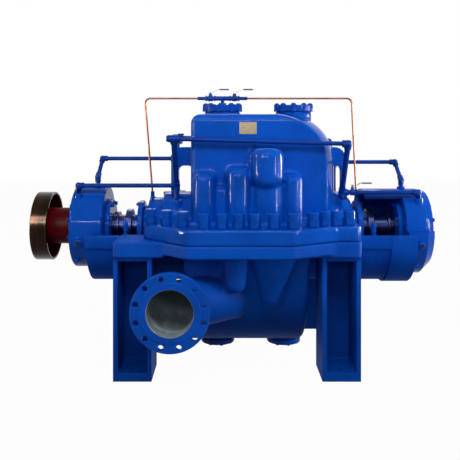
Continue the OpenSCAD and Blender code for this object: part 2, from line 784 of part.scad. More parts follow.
// Upright pad that a pipe screws into
module port(x, y, r) translate([x, y, port_z(r, y) - 3 * port_h]) cylinder(h = 3 * port_h, r = port_r);

// Drum of the coupling end's bearing
module left_drum() soft_bar_x(-left_housing_x[1], -left_housing_x[0], left_housing_r, housing_edge_r);

// Lower half of the coupling end's bearing housing
module left_bearing_housing() color(blue) difference() {
    union() {
        intersection() {
            left_drum();
            below();
        }
        sight_pad(sight_x[0], left_housing_r);
    }
    shaft_way(journal_gap);
}

// Upper half of the coupling end's bearing housing
module left_bearing_cap() color(blue) difference() {
    union() {
        intersection() {
            left_drum();
            above();
        }
        port(supply_x[0], -riser_y, left_housing_r);
        port(return_x[0], 0, left_housing_r);
    }
    shaft_way(journal_gap);
}

// Drum of the thrust end's bearing, tapered outwards
module right_drum(r, end_r) translate([right_housing_x[0], 0, 0]) rotate([0, 90, 0]) rotate_extrude()
    polygon([
        [0, 0], [r - edge_bevel, 0], [r, edge_bevel], [r, right_len - taper_len], [end_r, right_len], [0, right_len]
    ]);

// Lower half of the thrust end's bearing housing
module right_bearing_housing() color(blue) difference() {
    union() {
        intersection() {
            right_drum(right_housing_r, right_housing_r - taper_in);
            below();
        }
        sight_pad(sight_x[1], right_housing_r);
    }
    shaft_way(journal_gap);
}

// Upper half of the thrust end's bearing housing, with a hood that is open to the front
module right_bearing_cap() color(blue) difference() {
    union() {
        translate([right_housing_x[0] - hood_len, 0, 0]) rotate([0, 90, 0]) rotate([0, 0, 90])
            rotate_extrude(angle = 90 + hood_front) translate([right_cap_r - hood_t, 0]) square([hood_t, hood_len]);
        intersection() {
            right_drum(right_cap_r, right_cap_r - cap_taper_in);
            above();
        }
        port(supply_x[1], -riser_y, right_cap_r);
        port(return_x[1], 0, right_cap_r);
    }
    shaft_way(journal_gap);
}

// Covers that close the housings towards the seals
module left_inner_cover() color(blue) difference() {
    disc_x(-left_housing_x[0], -left_housing_x[0] + inner_cover_t, inner_cover_r, edge_bevel);
    shaft_way(shaft_gap);
}
module right_inner_cover() color(blue) difference() {
    disc_x(right_housing_x[0] - inner_cover_t, right_housing_x[0], inner_cover_r, edge_bevel);
    shaft_way(shaft_gap);
}

// Covers that close the housings outwards
module left_end_cover() color(blue) difference() {
    disc_x(-left_housing_x[1] - end_cover_t, -left_housing_x[1], end_cover_r, edge_bevel);
    shaft_way(shaft_gap);
}
module right_end_cover() color(blue)
    disc_x(right_housing_x[1], right_housing_x[1] + end_cover_t, end_cover_r, edge_bevel);

// Glands that close the seal chambers
module left_seal_gland() color(blue) difference() {
    disc_x(gland_x[0], gland_x[0] + gland_t, gland_r, edge_bevel);
    shaft_way(shaft_gap);
}
module right_seal_gland() color(blue) difference() {
    union() {
        disc_x(gland_x[1], gland_x[1] + gland_t, gland_r, edge_bevel);
        translate([tube_foot_x[1], 0, neck_r]) cylinder(h = tube_foot_h[1] - neck_r, r = tube_port_r);
    }
    shaft_way(shaft_gap);
}

// Straight round bar between two points
module rod(p, q, r) {
    d = q - p;
    translate(p) rotate([0, acos(d[2] / norm(d)), atan2(d[1], d[0])]) cylinder(h = norm(d), r = r);
}

// Screwed pipe fitting with an arm for each way
module fitting(p, ways, r) {
    translate(p) sphere(r + fitting_out / 3);
    for (w = ways) rod(p, p + fitting_arm * unit(w), r);
}

// Manifold along one side of the crown, with a leaning riser at each end and a branch on each
module manifold(riser_at, branch_h) color(blue) {
    left = [riser_at[0], -manifold_y, manifold_h[0]];
    right = [riser_at[1], -manifold_y, manifold_h[1]];
    along = right - left;
    plug = left - unit(along) * manifold_stub;
    rod(plug, right, pipe_r);
    rod(plug - unit(along) * plug_len, plug + unit(along) * plug_len, fitting_r);
    for (i = [0, 1]) {
        top = i == 0 ? left : right;
        low = [riser_at[i], -riser_y, branch_h[i]];
        pad = [riser_at[i], -riser_y, riser_pad_h];
        rod(low, top, riser_r);
        rod(pad, low, riser_r);
        fitting(top, i == 0 ? [along, -along, low - top] : [-along, low - top], riser_fitting_r);
        fitting(low, [top - low, [0, 0, -1], [2 * i - 1, 0, 0]], riser_fitting_r);
    }
}
module front_manifold() manifold(riser_x, supply_h);
module rear_manifold() mirror([0, 1, 0]) manifold(rear_riser_x, return_h);

// Cooling pipe from a riser to a bearing cap
module supply_pipe(i, start_x, cap_r) color(blue) {
    top = [supply_x[i], -riser_y, supply_h[i]];
    rod([start_x, -riser_y, supply_h[i]], top, pipe_r);
    rod(top, [supply_x[i], -riser_y, port_z(cap_r, riser_y)], pipe_r);
    fitting(top, [[1 - 2 * i, 0, 0], [0, 0, -1]], fitting_r);
}
module left_supply_pipe() supply_pipe(0, riser_x[0] - fitting_arm, left_housing_r);
module right_supply_pipe() supply_pipe(1, cooling_valve_x + valve_arm, right_cap_r);

// Cooling pipe from a bearing cap back to a riser
module return_pipe(i, start_x, cap_r) color(blue) {
    top = [return_x[i], riser_y, return_h[i]];
    low = [return_x[i], 0, port_z(cap_r, 0) + nipple_len];
    rod([start_x, riser_y, return_h[i]], top, pipe_r);
    rod(top, low, pipe_r);
    rod(low, [return_x[i], 0, port_z(cap_r, 0)], pipe_r);
    fitting(top, [[1 - 2 * i, 0, 0], low - top], fitting_r);
    fitting(low, [top - low, [0, 0, -1]], fitting_r);
}
module left_return_pipe() return_pipe(0, rear_riser_x[0] - fitting_arm, left_housing_r);
module right_return_pipe() return_pipe(1, rear_riser_x[1] + fitting_arm, right_cap_r);

// Tee of the flush line, screwed into the coupling end's top cover
module flush_tee() color(blue) {
    translate([top_cover_x[0], 0, top_pad_z + top_cover_t]) {
        cylinder(h = tee_r, r = 1.6 * tee_r, $fn = 6);
        cylinder(h = tee_h - top_pad_z - top_cover_t, r = 0.8 * tee_r);
    }
    rod([top_cover_x[0] - tee_arm, 0, tee_h], [top_cover_x[0] + tee_arm, 0, tee_h], tee_r);
}

// Ball valve with its bore along the shaft and its stem upright
module valve_body() color(blue) difference() {
    union() {
        disc_x(-0.5 * valve_arm, 0.5 * valve_arm, valve_r, edge_bevel);
        bar_x(-valve_arm, valve_arm, 0.7 * valve_r);
        for (x = [-valve_arm, 0.65 * valve_arm]) translate([x, 0, 0]) rotate([0, 90, 0])
            cylinder(h = 0.35 * valve_arm, r = 0.95 * valve_r, $fn = 6);
        cylinder(h = bonnet_h, r = stem_r + bonnet_wall);
    }
    translate([0, 0, bonnet_h - stem_deep - 6]) cylinder(h = stem_deep + 7, r = stem_r + stem_gap);
}
module left_flush_valve() translate([valve_x[0], 0, tee_h]) valve_body();
module right_flush_valve() translate([valve_x[1], 0, tee_h]) valve_body();
module cooling_valve() translate([cooling_valve_x, -riser_y, supply_h[1]]) valve_body();

// Cranked lever of a ball valve, on its stem
module valve_lever() color(grey) {
    translate([0, 0, bonnet_h - stem_deep]) cylinder(h = stem_deep + lever_base - bonnet_h + lever[2] + 4, r = stem_r);
    translate([0, 0, lever_base]) upright(lever[1]) polygon([
        [-1.6 * stem_r, 0], [0.2 * lever[0], 0], [0.4 * lever[0], lever_rise], [lever[0], lever_rise],
        [lever[0], lever_rise + lever[2]], [0.4 * lever[0] - lever[2] / 2, lever_rise + lever[2]],
        [0.2 * lever[0] - lever[2] / 2, lever[2]], [-1.6 * stem_r, lever[2]]
    ]);
}
module left_flush_lever() translate([valve_x[0], 0, tee_h]) valve_lever();
module right_flush_lever() translate([valve_x[1], 0, tee_h]) valve_lever();
module cooling_lever() translate([cooling_valve_x, -riser_y, supply_h[1]]) valve_lever();

// Copper tube from a flush valve, over a bend and down to a seal
module flush_tube(i) color(copper) {
    side = 2 * i - 1;
    a = [valve_x[i] + side * valve_arm, tee_h];
    c = [tube_corner_x[i], tee_h];
    b = [tube_foot_x[i], tube_foot_h[i] + 2 * tube_r];
    v = unit(b - c);
    half = acos(unit(a - c) * v) / 2;
    cut = tube_bend_r / tan(half);
    p = c + unit(a - c) * cut;
    q = c + v * cut;
    rod([a[0], 0, a[1]], [p[0], 0, p[1]], tube_r);
    rod([q[0], 0, q[1]], [b[0], 0, b[1]], tube_r);
    translate([p[0], 0, p[1] - tube_bend_r]) rotate([90, 0, 0])
        rotate([0, 0, i == 0 ? 90 : 2 * half - 90]) rotate_extrude(angle = 180 - 2 * half)
            translate([tube_bend_r, 0]) circle(tube_r);
    for (e = [p, q]) translate([e[0], 0, e[1]]) sphere(1.08 * tube_r);
    rod([a[0], 0, a[1]], [a[0] + side * ferrule_len, 0, a[1]], 1.9 * tube_r);
    translate([tube_foot_x[i], 0, tube_foot_h[i]]) cylinder(h = ferrule_len / 2, r = 2.1 * tube_r, $fn = 6);
}
module left_flush_tube() flush_tube(0);
module right_flush_tube() flush_tube(1);

// Shaft with its throwing collars and locking rings
module shaft() color(dark_steel) {
    disc_x(shaft_x[0], shaft_x[1], shaft_r, edge_bevel);
    disc_x(gland_x[0] - collar_off - collar[1], gland_x[0] - collar_off, collar[0], edge_bevel);
    disc_x(gland_x[1] + gland_t + collar_off, gland_x[1] + gland_t + collar_off + collar[1], collar[0], edge_bevel);
    bar_x(left_ring_x, left_ring_x + ring[1], ring[0]);
    bar_x(right_ring_x - ring[1], right_ring_x, ring[0]);
}

// Hub and disc of the drive coupling
module coupling_hub() color(red) difference() {
    union() {
        disc_x(-coupling_x, left_hub_end, hub_r, edge_bevel);
        bar_x(-coupling_x, -coupling_x + disc_t, rim_r - rim_t);
    }
    shaft_way(hub_fit);
    for (i = [0 : coupling_holes - 1]) rotate([i * 360 / coupling_holes, 0, 0])
        translate([-coupling_x - 1, 0, coupling_pcd_r]) rotate([0, 90, 0])
            cylinder(h = disc_t + 2, r = coupling_hole_r);
}

// Machined rim of the drive coupling
module coupling_rim() color(dark_steel) difference() {
    disc_x(-coupling_x, -coupling_x + rim_w, rim_r, edge_bevel);
    bar_x(-far, far, rim_r - rim_t + hub_fit);
}

stand() lower_casing();
stand() upper_casing();
stand() suction_nozzle();
stand() discharge_nozzle();
stand() left_top_cover();
stand() right_top_cover();
stand() left_bottom_cover();
stand() right_bottom_cover();
stand() left_lifting_lug();
stand() right_lifting_lug();
stand() rating_plate();
stand() front_left_pedestal();
stand() front_right_pedestal();
stand() rear_left_pedestal();
stand() rear_right_pedestal();
stand() left_bearing_bracket();
stand() right_bearing_bracket();
stand() left_bearing_housing();
stand() left_bearing_cap();
stand() right_bearing_housing();
stand() right_bearing_cap();
stand() left_inner_cover();
stand() right_inner_cover();
stand() left_end_cover();
stand() right_end_cover();
stand() left_seal_gland();
stand() right_seal_gland();
stand() front_manifold();
stand() rear_manifold();
stand() left_supply_pipe();
stand() right_supply_pipe();
stand() left_return_pipe();
stand() right_return_pipe();
stand() flush_tee();
stand() left_flush_valve();
stand() right_flush_valve();
stand() cooling_valve();
stand() left_flush_tube();
stand() right_flush_tube();
stand() shaft();
stand() coupling_hub();
stand() coupling_rim();
stand() left_flush_lever();
stand() right_flush_lever();
stand() cooling_lever();
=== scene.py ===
import bpy, bmesh
from math import cos, pi, radians, sin
from mathutils import Matrix, Vector


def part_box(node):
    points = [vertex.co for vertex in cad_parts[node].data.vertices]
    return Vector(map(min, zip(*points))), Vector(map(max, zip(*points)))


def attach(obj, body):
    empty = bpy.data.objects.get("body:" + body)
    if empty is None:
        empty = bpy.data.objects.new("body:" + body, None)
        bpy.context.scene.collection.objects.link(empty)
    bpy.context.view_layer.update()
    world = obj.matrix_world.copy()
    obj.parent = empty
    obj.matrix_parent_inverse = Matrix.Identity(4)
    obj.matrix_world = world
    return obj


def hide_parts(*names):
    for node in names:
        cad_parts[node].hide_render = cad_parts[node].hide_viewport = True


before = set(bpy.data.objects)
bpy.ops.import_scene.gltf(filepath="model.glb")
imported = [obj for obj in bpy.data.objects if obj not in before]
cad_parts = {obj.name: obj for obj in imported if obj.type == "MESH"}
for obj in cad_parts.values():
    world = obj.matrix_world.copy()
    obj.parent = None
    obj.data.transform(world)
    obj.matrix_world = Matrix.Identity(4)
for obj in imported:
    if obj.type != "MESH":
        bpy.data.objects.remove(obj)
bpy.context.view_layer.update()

# The studio: white all round, so that paint and metal have something pale to mirror, with less
# light on matt surfaces, so that colours come out as they are written.
MM = 0.001
stage = bpy.context.scene
stage.view_settings.view_transform = "Standard"


def linear(hex_code):
    """sRGB hex to the linear colour that shaders take."""
    parts = [int(hex_code[i:i + 2], 16) / 255 for i in (1, 3, 5)]
    return tuple(c / 12.92 if c <= 0.04045 else ((c + 0.055) / 1.055) ** 2.4 for c in parts) + (1.0,)


def add_node(tree, kind, inputs=None, **settings):
    """Adds a node with its settings; an input is a plain value or the socket that feeds it."""
    made = tree.nodes.new(kind)
    for key, value in settings.items():
        setattr(made, key, value)
    for key, value in (inputs or {}).items():
        if isinstance(value, bpy.types.NodeSocket):
            tree.links.new(value, made.inputs[key])
        else:
            made.inputs[key].default_value = value
    return made


def plain_tree(material):
    """Empties a material's or world's node tree and hands it back."""
    material.use_nodes = True
    material.node_tree.nodes.clear()
    return material.node_tree


def seen_rays(tree):
    """1 for rays that see the background: camera, glossy and transmission."""
    path = add_node(tree, "ShaderNodeLightPath").outputs
    either = add_node(tree, "ShaderNodeMath", {0: path["Is Camera Ray"], 1: path["Is Glossy Ray"]},
                      operation="MAXIMUM").outputs[0]
    return add_node(tree, "ShaderNodeMath", {0: either, 1: path["Is Transmission Ray"]},
                    operation="MAXIMUM").outputs[0]


SKY_FILL = 0.21
world = bpy.data.worlds.new("studio_white")
stage.world = world
tree = plain_tree(world)
sky = add_node(tree, "ShaderNodeMapRange",
               {"Value": seen_rays(tree), "To Min": SKY_FILL, "To Max": 1.0})
back = add_node(tree, "ShaderNodeBackground",
                {"Color": linear("#ffffff"), "Strength": sky.outputs["Result"]})
add_node(tree, "ShaderNodeOutputWorld", {"Surface": back.outputs["Background"]})

# The floor: a wide sheet in pale matt paint, which takes the pump's soft shadow and is otherwise
# all but white to the eye. It is no piece of the pump.
FLOOR_HALF = 14
FLOOR_GLOW = 0.975
pale = bpy.data.materials.new("pale_floor_paint")
tree = plain_tree(pale)
matte = add_node(tree, "ShaderNodeBsdfDiffuse", {"Color": linear("#8c8c8c")})
glow = add_node(tree, "ShaderNodeEmission", {"Color": linear("#ffffff"), "Strength": 1.0})
share = add_node(tree, "ShaderNodeMath", {0: seen_rays(tree), 1: FLOOR_GLOW}, operation="MULTIPLY")
mixed = add_node(tree, "ShaderNodeMixShader",
                 {"Fac": share.outputs[0], 1: matte.outputs["BSDF"], 2: glow.outputs["Emission"]})
add_node(tree, "ShaderNodeOutputMaterial", {"Surface": mixed.outputs["Shader"]})
bm = bmesh.new()
bmesh.ops.create_grid(bm, x_segments=2, y_segments=2, size=FLOOR_HALF)
mesh = bpy.data.meshes.new("studio_floor")
bm.to_mesh(mesh)
bm.free()
mesh.materials.append(pale)
floor = bpy.data.objects.new("studio_floor", mesh)
stage.collection.objects.link(floor)

# The lamps: the first five light everything, and the strips and the panel show in gloss alone,
# as narrow white tubes and a window would.
LAMPS = (
    # name, place, aimed at, width, height, watts, whether matt surfaces are lit as well
    ("overhead_lamp", (0.3, -3.6, 4.4), (0, 0, 0.9), 4.0, 1.6, 162, True),
    ("rear_lamp", (0.2, 4.6, 4.2), (0, 0, 0.9), 4.0, 1.6, 120, True),
    ("front_lamp", (-0.4, -6.0, 2.5), (0, 0, 0.9), 3.6, 0.1, 22, True),
    ("right_lamp", (4.0, -1.2, 1.4), (0.3, -0.3, 1.0), 0.06, 2.4, 90, True),
    ("left_lamp", (-3.4, -3.2, 1.6), (-0.2, -0.3, 1.0), 0.08, 2.2, 24, True),
    ("front_strip", (-1.2, -6.0, 2.8), (-0.6, 0, 0.9), 4.6, 0.3, 260, False),
    ("right_strip", (3.9, 0.8, 1.4), (0.3, -0.3, 1.0), 0.35, 2.2, 600, False),
    ("front_right_strip", (3.2, -2.6, 1.5), (0.1, -0.3, 1.0), 0.22, 2.0, 220, False),
    ("left_strip", (-3.6, -0.9, 1.5), (0.0, -0.3, 1.0), 0.25, 2.0, 300, False),
    ("coupling_panel", (-2.65, -3.6, 2.6), (-1.33, -0.2, 0.9), 0.8, 1.6, 200, False),
)
for name, place, aim, wide, high, watts, matt_too in LAMPS:
    lamp = bpy.data.lights.new(name, "AREA")
    lamp.shape = "RECTANGLE"
    lamp.size = wide
    lamp.size_y = high
    lamp.energy = watts
    holder = bpy.data.objects.new(name, lamp)
    holder.location = place
    holder.rotation_euler = (Vector(aim) - Vector(place)).to_track_quat("-Z", "Y").to_euler()
    holder.visible_diffuse = matt_too
    stage.collection.objects.link(holder)

# Camera: level, in front of the pump and a little above its middle. The frame's middle lies
# below its axis, as in the photograph.
FRAME_PX = 460
FOCAL_PX = 646
AXIS_PX = (228, 130)
CAMERA_AT = (-0.05, -4.2, 1.4)
eye = bpy.data.cameras.new("photo_camera")
eye.sensor_width = 36
eye.lens = FOCAL_PX / FRAME_PX * eye.sensor_width
eye.shift_x = (FRAME_PX / 2 - AXIS_PX[0]) / FRAME_PX
eye.shift_y = (AXIS_PX[1] - FRAME_PX / 2) / FRAME_PX
camera = bpy.data.objects.new("photo_camera", eye)
camera.location = CAMERA_AT
camera.rotation_euler = (radians(90), 0, 0)
stage.collection.objects.link(camera)
stage.camera = camera

# Lower casing: an iron casting with flange, feet, barrel, cross passages and branches in one,
# its edges softened by the mould and by thick paint; it carries everything else.
SHAFT_H = 780
# Heights over which the low enamel's painted shade fades out, darkest at the lower one.
PAINTED_SHADE_Z = (SHAFT_H - 480, SHAFT_H - 100)
PATCH_MM = 210
PEEL_MM = 9
PEEL_DEPTH = 0.0006
HAZE_SPREAD = 0.03


def enamel(name, deep, light, lump_mm, lump_depth, haze_low, shine, painted_shade_share=1.0):
    """Alkyd enamel sprayed over iron: even and glossy, a little wavy, with orange peel.

    The peel is drawn several times coarser than the real one, so that it shows. Low down, the colour
    darkens towards the bottom as painted shade, to the last argument's share of itself.
    """
    paint = bpy.data.materials.new(name)
    tree = plain_tree(paint)
    where = add_node(tree, "ShaderNodeTexCoord").outputs["Object"]
    patches = add_node(tree, "ShaderNodeTexNoise",
                       {"Vector": where, "Scale": 1000 / PATCH_MM, "Detail": 5.0})
    tone = add_node(tree, "ShaderNodeValToRGB", {"Fac": patches.outputs["Fac"]})
    tone.color_ramp.elements[0].position = 0.3
    tone.color_ramp.elements[0].color = linear(deep)
    tone.color_ramp.elements[1].position = 0.72
    tone.color_ramp.elements[1].color = linear(light)
    haze = add_node(tree, "ShaderNodeMapRange",
                    {"Value": patches.outputs["Fac"], "From Min": 0.3, "From Max": 0.7,
                     "To Min": haze_low + HAZE_SPREAD, "To Max": haze_low})
    lumps = add_node(tree, "ShaderNodeTexNoise",
                     {"Vector": where, "Scale": 1000 / lump_mm, "Detail": 3.0})
    peel = add_node(tree, "ShaderNodeTexNoise",
                    {"Vector": where, "Scale": 1000 / PEEL_MM, "Detail": 2.0})
    wavy = add_node(tree, "ShaderNodeBump",
                    {"Height": lumps.outputs["Fac"], "Strength": 0.5, "Distance": lump_depth})
    skin = add_node(tree, "ShaderNodeBump",
                    {"Height": peel.outputs["Fac"], "Strength": 0.12, "Distance": PEEL_DEPTH,
                     "Normal": wavy.outputs["Normal"]})
    height = add_node(tree, "ShaderNodeSeparateXYZ", {"Vector": where}).outputs["Z"]
    # Painted shade: the colour is scaled down towards the bottom.
    painted_shade = add_node(tree, "ShaderNodeMapRange",
                     {"Value": height, "From Min": PAINTED_SHADE_Z[0] * MM, "From Max": PAINTED_SHADE_Z[1] * MM,
                      "To Min": painted_shade_share, "To Max": 1.0})
    colour = add_node(tree, "ShaderNodeVectorMath",
                      {0: tone.outputs["Color"], "Scale": painted_shade.outputs["Result"]}, operation="SCALE")
    coat = add_node(tree, "ShaderNodeBsdfPrincipled",
                    {"Base Color": colour.outputs[0], "Roughness": haze.outputs["Result"],
                     "IOR": 1.5, "Specular IOR Level": shine, "Normal": skin.outputs["Normal"]})
    add_node(tree, "ShaderNodeOutputMaterial", {"Surface": coat.outputs["BSDF"]})
    return paint


# Cast faces high up shine; those low down are dull with dust, and their colour darkens towards the
# bottom as painted shade.
cast_enamel = enamel("cast_iron_enamel", "#0344a5", "#0552bf", 70, 0.0012, 0.03, 0.04)
low_enamel = enamel("dusty_low_enamel_painted_shade", "#0341a2", "#0450ba", 90, 0.004, 0.55, 0.02, 0.66)


def keep_piece(name, mesh, finish, body="casing", replaced=()):
    """Links a finished mesh as a piece, gives it its finish and lets it ride on its body."""
    piece = bpy.data.objects.new(name, mesh)
    stage.collection.objects.link(piece)
    mesh.materials.append(finish)
    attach(piece, body)
    if replaced:
        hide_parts(*replaced)
    return piece


MERGE_MM = 0.02


def node_copy(node):
    """A merged bmesh copy of a CAD node."""
    bm = bmesh.new()
    bm.from_mesh(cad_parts[node].data)
    bmesh.ops.remove_doubles(bm, verts=bm.verts, dist=MERGE_MM * MM)
    return bm


CAST_VOXEL = 8
CAST_ROUNDS = 5
CAST_SHARE = 0.42


def cast_skin(bm, name, cores=()):
    """A bmesh's outline as a mould gives it, edges and inner corners rounded, its cores cut out."""
    rough = bpy.data.meshes.new(name + "_rough")
    bm.to_mesh(rough)
    bm.free()
    blank = bpy.data.objects.new(name + "_rough", rough)
    stage.collection.objects.link(blank)
    grid = blank.modifiers.new("grid", "REMESH")
    grid.mode = "VOXEL"
    grid.voxel_size = CAST_VOXEL * MM
    fair = blank.modifiers.new("fair", "SMOOTH")
    fair.factor = 0.5
    fair.iterations = CAST_ROUNDS
    thin = blank.modifiers.new("thin", "DECIMATE")
    thin.ratio = CAST_SHARE
    for core in cores:
        stage.collection.objects.link(core)
        cut = blank.modifiers.new("core", "BOOLEAN")
        cut.operation = "DIFFERENCE"
        cut.solver = "MANIFOLD"
        cut.object = core
    settled = blank.evaluated_get(bpy.context.evaluated_depsgraph_get())
    skin = bpy.data.meshes.new_from_object(settled)
    skin.materials.clear()
    skin.shade_smooth()
    for spare in (blank, *cores):
        bpy.data.meshes.remove(spare.data)
    return skin


# Ways behind the nozzles: cast hollow by sand cores, straight at first and then turned past
# the pedestal. The skin is made without them, and the cores are cut out of it.
NOZZLE_X = 355
NOZZLE_Z = SHAFT_H - 340
NOZZLE_FACE = 832
NECK = 88
TURN_AT = 138
TURN = radians(50)
WAY_LEN = 300
WAY_R = {-1: 128, 1: 103}
WAY_SIDES = 72


def way_lines(side):
    """The elbow of the way behind a nozzle, and its directions before and after the turn."""
    elbow = Vector((side * NOZZLE_X, side * (NOZZLE_FACE - TURN_AT), NOZZLE_Z)) * MM
    return elbow, Vector((0, -side, 0)), Vector((-side * sin(TURN), -side * cos(TURN), 0))


def in_way(at, side, spare_mm):
    """Whether a point is inside the way behind a nozzle, or on its wall."""
    elbow, inward, onward = way_lines(side)
    off = at - elbow
    leg = onward if off.dot(inward + onward) > 0 else inward
    along = off.dot(leg)
    behind_neck = side * at.y < (NOZZLE_FACE - NECK + spare_mm) * MM
    before_end = along < (WAY_LEN + spare_mm) * MM
    return behind_neck and before_end and (off - leg * along).length < (WAY_R[side] + spare_mm) * MM


def way_core(side):
    """The core of a way: a round run from inside the neck to the mitre, and on from there."""
    elbow, inward, onward = way_lines(side)
    lean = (inward + onward).normalized()
    bm = bmesh.new()
    start = Matrix.Translation(elbow - inward * TURN_AT * MM) @ Matrix.Rotation(radians(90), 4, "X")
    bmesh.ops.create_circle(bm, cap_ends=True, segments=WAY_SIDES, radius=WAY_R[side] * MM,
                            matrix=start)
    end = bm.faces[:]
    for leg in (inward, onward):
        made = bmesh.ops.extrude_face_region(bm, geom=end)["geom"]
        if leg == onward:
            bmesh.ops.delete(bm, geom=end, context="FACES_ONLY")
        end = [part for part in made if isinstance(part, bmesh.types.BMFace)]
        for vert in {vert for face in end for vert in face.verts}:
            reach = (elbow - vert.co).dot(lean) / leg.dot(lean) if leg == inward else WAY_LEN * MM
            vert.co += leg * reach
    bmesh.ops.recalc_face_normals(bm, faces=bm.faces)
    mesh = bpy.data.meshes.new("way_core")
    bm.to_mesh(mesh)
    bm.free()
    return bpy.data.objects.new("way_core", mesh)


bm = node_copy("lower_casing")
hollow = [face for face in bm.faces
          if any(all(in_way(vert.co, side, 1) for vert in face.verts) for side in WAY_R)]
bmesh.ops.delete(bm, geom=hollow, context="FACES")
bmesh.ops.holes_fill(bm, edges=[edge for edge in bm.edges if edge.is_boundary], sides=0)
skin = cast_skin(bm, "lower_casing", [way_core(side) for side in WAY_R])
casing = keep_piece("lower_casing_skin", skin, low_enamel, replaced=["lower_casing"])

# Grey primer: a matt zinc-rich coat sprayed in from the flange, blotchy and a little gritty; it stays
# grey over the neck and the way's floor, and turns dark further in and higher up, as painted shade.
BLOTCH_MM = 45
GRIT_MM = 6
# Painted shade: past these depths, and sooner higher up the way, the grey turns dark.
BORE_SHADE_DEPTH = (150, 225)
BORE_SHADE_CLIMB = 1.3
RAGGED_BY = 0.06
bore_primer_and_shade = bpy.data.materials.new("grey_bore_primer_and_shade")
tree = plain_tree(bore_primer_and_shade)
where = add_node(tree, "ShaderNodeTexCoord").outputs["Object"]
blotch = add_node(tree, "ShaderNodeTexNoise",
                  {"Vector": where, "Scale": 1000 / BLOTCH_MM, "Detail": 6.0})
tone = add_node(tree, "ShaderNodeValToRGB", {"Fac": blotch.outputs["Fac"]})
tone.color_ramp.elements[0].position = 0.32
tone.color_ramp.elements[0].color = linear("#64737a")
tone.color_ramp.elements[1].position = 0.7
tone.color_ramp.elements[1].color = linear("#86949a")
place = add_node(tree, "ShaderNodeSeparateXYZ", {"Vector": where})
inside = add_node(tree, "ShaderNodeMath", {0: place.outputs["Y"]}, operation="ABSOLUTE")
neck_end = (NOZZLE_FACE - NECK - BORE_SHADE_CLIMB * NOZZLE_Z) * MM
climb = add_node(tree, "ShaderNodeMath", {0: place.outputs["Z"], 1: BORE_SHADE_CLIMB, 2: neck_end},
                 operation="MULTIPLY_ADD")
depth = add_node(tree, "ShaderNodeMath", {0: climb.outputs[0], 1: inside.outputs[0]},
                 operation="SUBTRACT")
ragged = add_node(tree, "ShaderNodeMath",
                  {0: blotch.outputs["Fac"], 1: RAGGED_BY, 2: depth.outputs[0]},
                  operation="MULTIPLY_ADD")
bore_shade = add_node(tree, "ShaderNodeMapRange",
                {"Value": ragged.outputs[0], "From Min": BORE_SHADE_DEPTH[0] * MM,
                 "From Max": BORE_SHADE_DEPTH[1] * MM})
# The dark grey is painted shade of the way's deep hollow.
primer_and_shade_colour = add_node(tree, "ShaderNodeMix",
                {0: bore_shade.outputs["Result"], 6: tone.outputs["Color"], 7: linear("#4a565c")},
                data_type="RGBA")
grit = add_node(tree, "ShaderNodeTexNoise", {"Vector": where, "Scale": 1000 / GRIT_MM, "Detail": 3.0})
rough = add_node(tree, "ShaderNodeBump",
                 {"Height": grit.outputs["Fac"], "Strength": 0.4, "Distance": 0.001})
coat = add_node(tree, "ShaderNodeBsdfPrincipled",
                {"Base Color": primer_and_shade_colour.outputs[2], "Roughness": 0.6, "IOR": 1.5,
                 "Specular IOR Level": 0.15, "Normal": rough.outputs["Normal"]})
add_node(tree, "ShaderNodeOutputMaterial", {"Surface": coat.outputs["BSDF"]})
casing.data.materials.append(bore_primer_and_shade)
for face in casing.data.polygons:
    if any(in_way(face.center, side, 2) for side in WAY_R):
        face.material_index = 1

# Upper casing: the second casting, with the tall box over the cross passages, lifted off
# when the pump is opened.
keep_piece("upper_casing_skin", cast_skin(node_copy("upper_casing"), "upper_casing"), cast_enamel,
           replaced=["upper_casing"])

# Cap nuts of the casing joint: closed steel nuts on studs, in a row along both sides of the
# flange, each a hexagon below and a turned cap above a groove, painted with the casing.
# On machined faces the enamel lies flatter.
smooth_enamel = enamel("machined_enamel", "#0341a0", "#044cb4", 160, 0.0012, 0.03, 0.04)


def add_rounds(bm, at, way, steps):
    """Stacks closed rounds along a way, in mm: sides, lower and upper radius, start and end."""
    turn = Vector((0, 0, 1)).rotation_difference(Vector(way)).to_matrix().to_4x4()
    place = Matrix.Translation(Vector(at) * MM) @ turn
    for sides, low_r, high_r, start, end in steps:
        lift = Matrix.Translation((0, 0, (start + end) / 2 * MM))
        middle = lift @ Matrix.Rotation(pi / sides, 4, "Z")
        bmesh.ops.create_cone(bm, cap_ends=True, segments=sides, radius1=low_r * MM,
                              radius2=high_r * MM, depth=(end - start) * MM, matrix=place @ middle)


CRISP = radians(32)


def keep_rounds(name, bm, finish, body="casing"):
    """Turns a bmesh of stacked rounds into a piece with crisp edges and smooth sides."""
    mesh = bpy.data.meshes.new(name)
    bm.to_mesh(mesh)
    bm.free()
    mesh.shade_smooth()
    mesh.set_sharp_from_angle(angle=CRISP)
    return keep_piece(name, mesh, finish, body)


JOINT_Z = SHAFT_H + 84
CAP_NUT = ((24, 36, 36, -3, 4), (6, 30, 35, 3, 9), (6, 35, 35, 9, 44), (24, 33, 33, 43, 48),
           (24, 29, 29, 47, 52), (24, 32, 32.5, 51, 82), (24, 32.5, 27, 82, 88))
NUT_PLACES = ((-488, 525), (-393, 590), (-297, 650), (-179, 715), (-82, 715), (7, 715), (93, 715),
              (198, 715), (303, 715), (415, 665), (489, 612), (556, 594), (630, 580))
for side, sign in (("front", -1), ("rear", 1)):
    bm = bmesh.new()
    for x, y in NUT_PLACES:
        add_rounds(bm, (x, sign * y, JOINT_Z), (0, 0, 1), CAP_NUT)
    keep_rounds(side + "_joint_nuts", bm, smooth_enamel)

# Nozzles: iron necks on the casing's branches, with flanges drilled for the pipework's bolts,
# enamelled outside and only grey-primed in the bore.
FLAT = radians(1)


